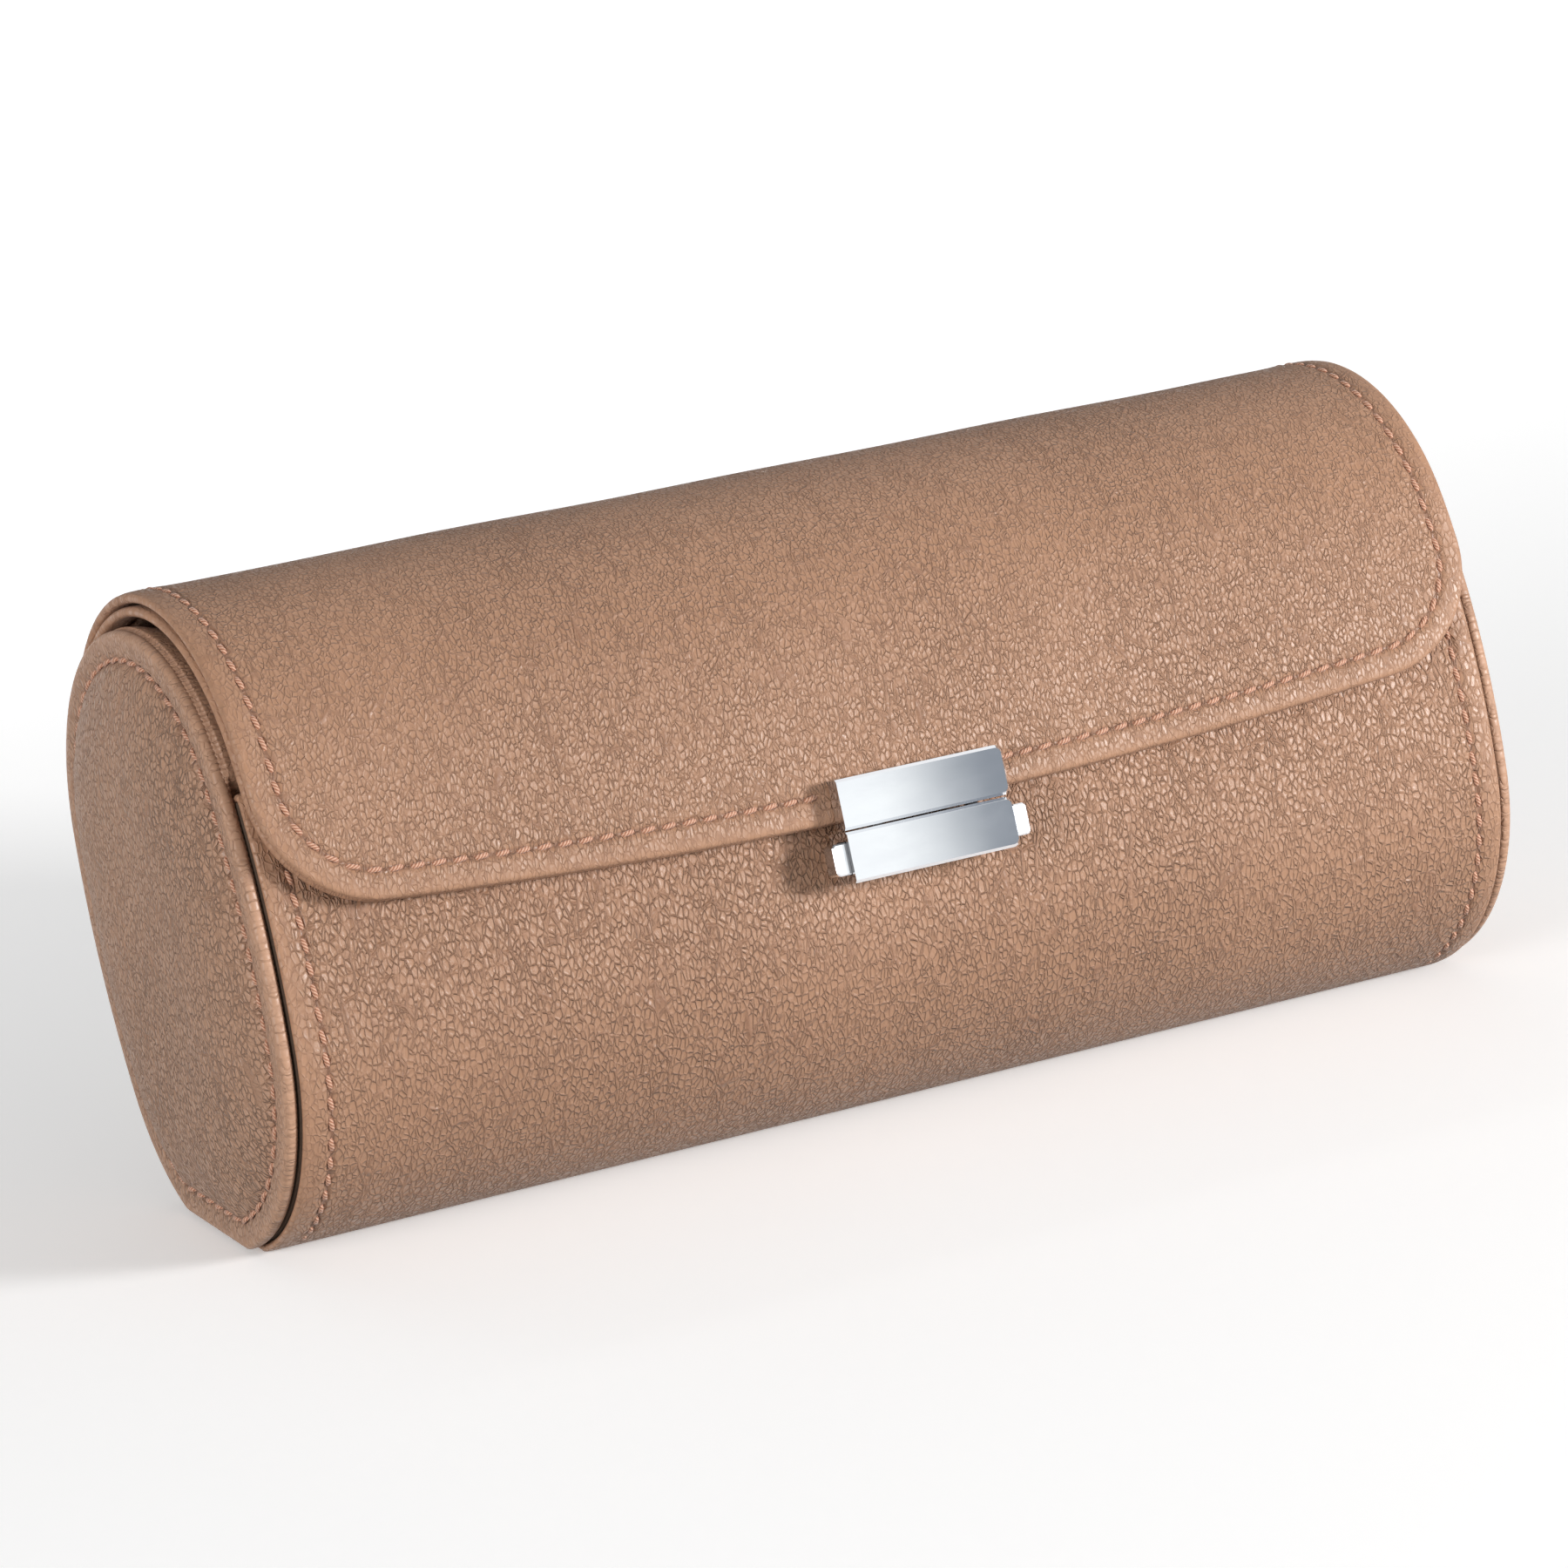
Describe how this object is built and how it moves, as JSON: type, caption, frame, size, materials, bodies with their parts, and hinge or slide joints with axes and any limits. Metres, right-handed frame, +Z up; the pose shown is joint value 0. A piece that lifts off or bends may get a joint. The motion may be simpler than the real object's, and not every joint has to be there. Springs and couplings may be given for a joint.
{
  "type": "brush roll case",
  "caption": "Stiff-walled oval leather roll case with padded domed ends, a back-hinged flap and a chrome pinch clasp.",
  "frame": {"origin": "middle of the flat that the roll rests on", "axes": "+X along the roll to the right seen from the front, -Y to the front where the clasp is, +Z up"},
  "size_m": [0.2556, 0.0944, 0.1117],
  "materials": {
    "tan_leather": "pebble-grained tan leather, matt with a soft sheen",
    "suede_lining": "brushed suede, a little darker than the outside",
    "stiffening_board": "pressed grey board, hidden",
    "foam": "soft foam, hidden",
    "polished_chrome": "mirror polished",
    "plain_steel": "satin, hidden in use",
    "elastic": "ribbed woven elastic"
  },
  "bodies": {
    "case": {"wrap_leather": "tan_leather", "wrap_board": "stiffening_board", "wrap_lining": "suede_lining", "end_cover_left": "tan_leather", "end_padding_left": "foam", "end_board_left": "stiffening_board", "end_gusset_left": "tan_leather", "end_lining_left": "suede_lining", "end_cover_right": "tan_leather", "end_padding_right": "foam", "end_board_right": "stiffening_board", "end_gusset_right": "tan_leather", "end_lining_right": "suede_lining", "lock_cover": "polished_chrome", "lock_plate": "plain_steel", "lock_backplate": "plain_steel", "lock_rivets": "plain_steel", "spring_left": "plain_steel", "spring_right": "plain_steel", "brush_panel": "suede_lining", "loop_band_left": "elastic", "loop_band_right": "elastic"},
    "flap": {"flap_leather": "tan_leather", "flap_board": "stiffening_board", "flap_lining": "tan_leather", "striker_bar": "polished_chrome", "striker_tongue": "plain_steel", "striker_backplate": "plain_steel", "striker_rivets": "plain_steel"},
    "button_left": {"button_left": "polished_chrome"},
    "button_right": {"button_right": "polished_chrome"}
  },
  "joints": [
    {"name": "flap_hinge", "type": "hinge", "parent": "case", "child": "flap", "pos_m": [0, 0.0498, 0.07106], "axis": [-1, 0, 0], "range_deg": [0, 140]},
    {"name": "button_left_push", "type": "slide", "parent": "case", "child": "button_left", "axis": [1, 0, 0], "range_m": [0, 0.0015], "stiffness_N_per_m": 300, "springref_m": -0.0012, "deforming": ["spring_left"]},
    {"name": "button_right_push", "type": "slide", "parent": "case", "child": "button_right", "axis": [-1, 0, 0], "range_m": [0, 0.0015], "stiffness_N_per_m": 300, "springref_m": -0.0012, "deforming": ["spring_right"]}
  ]
}
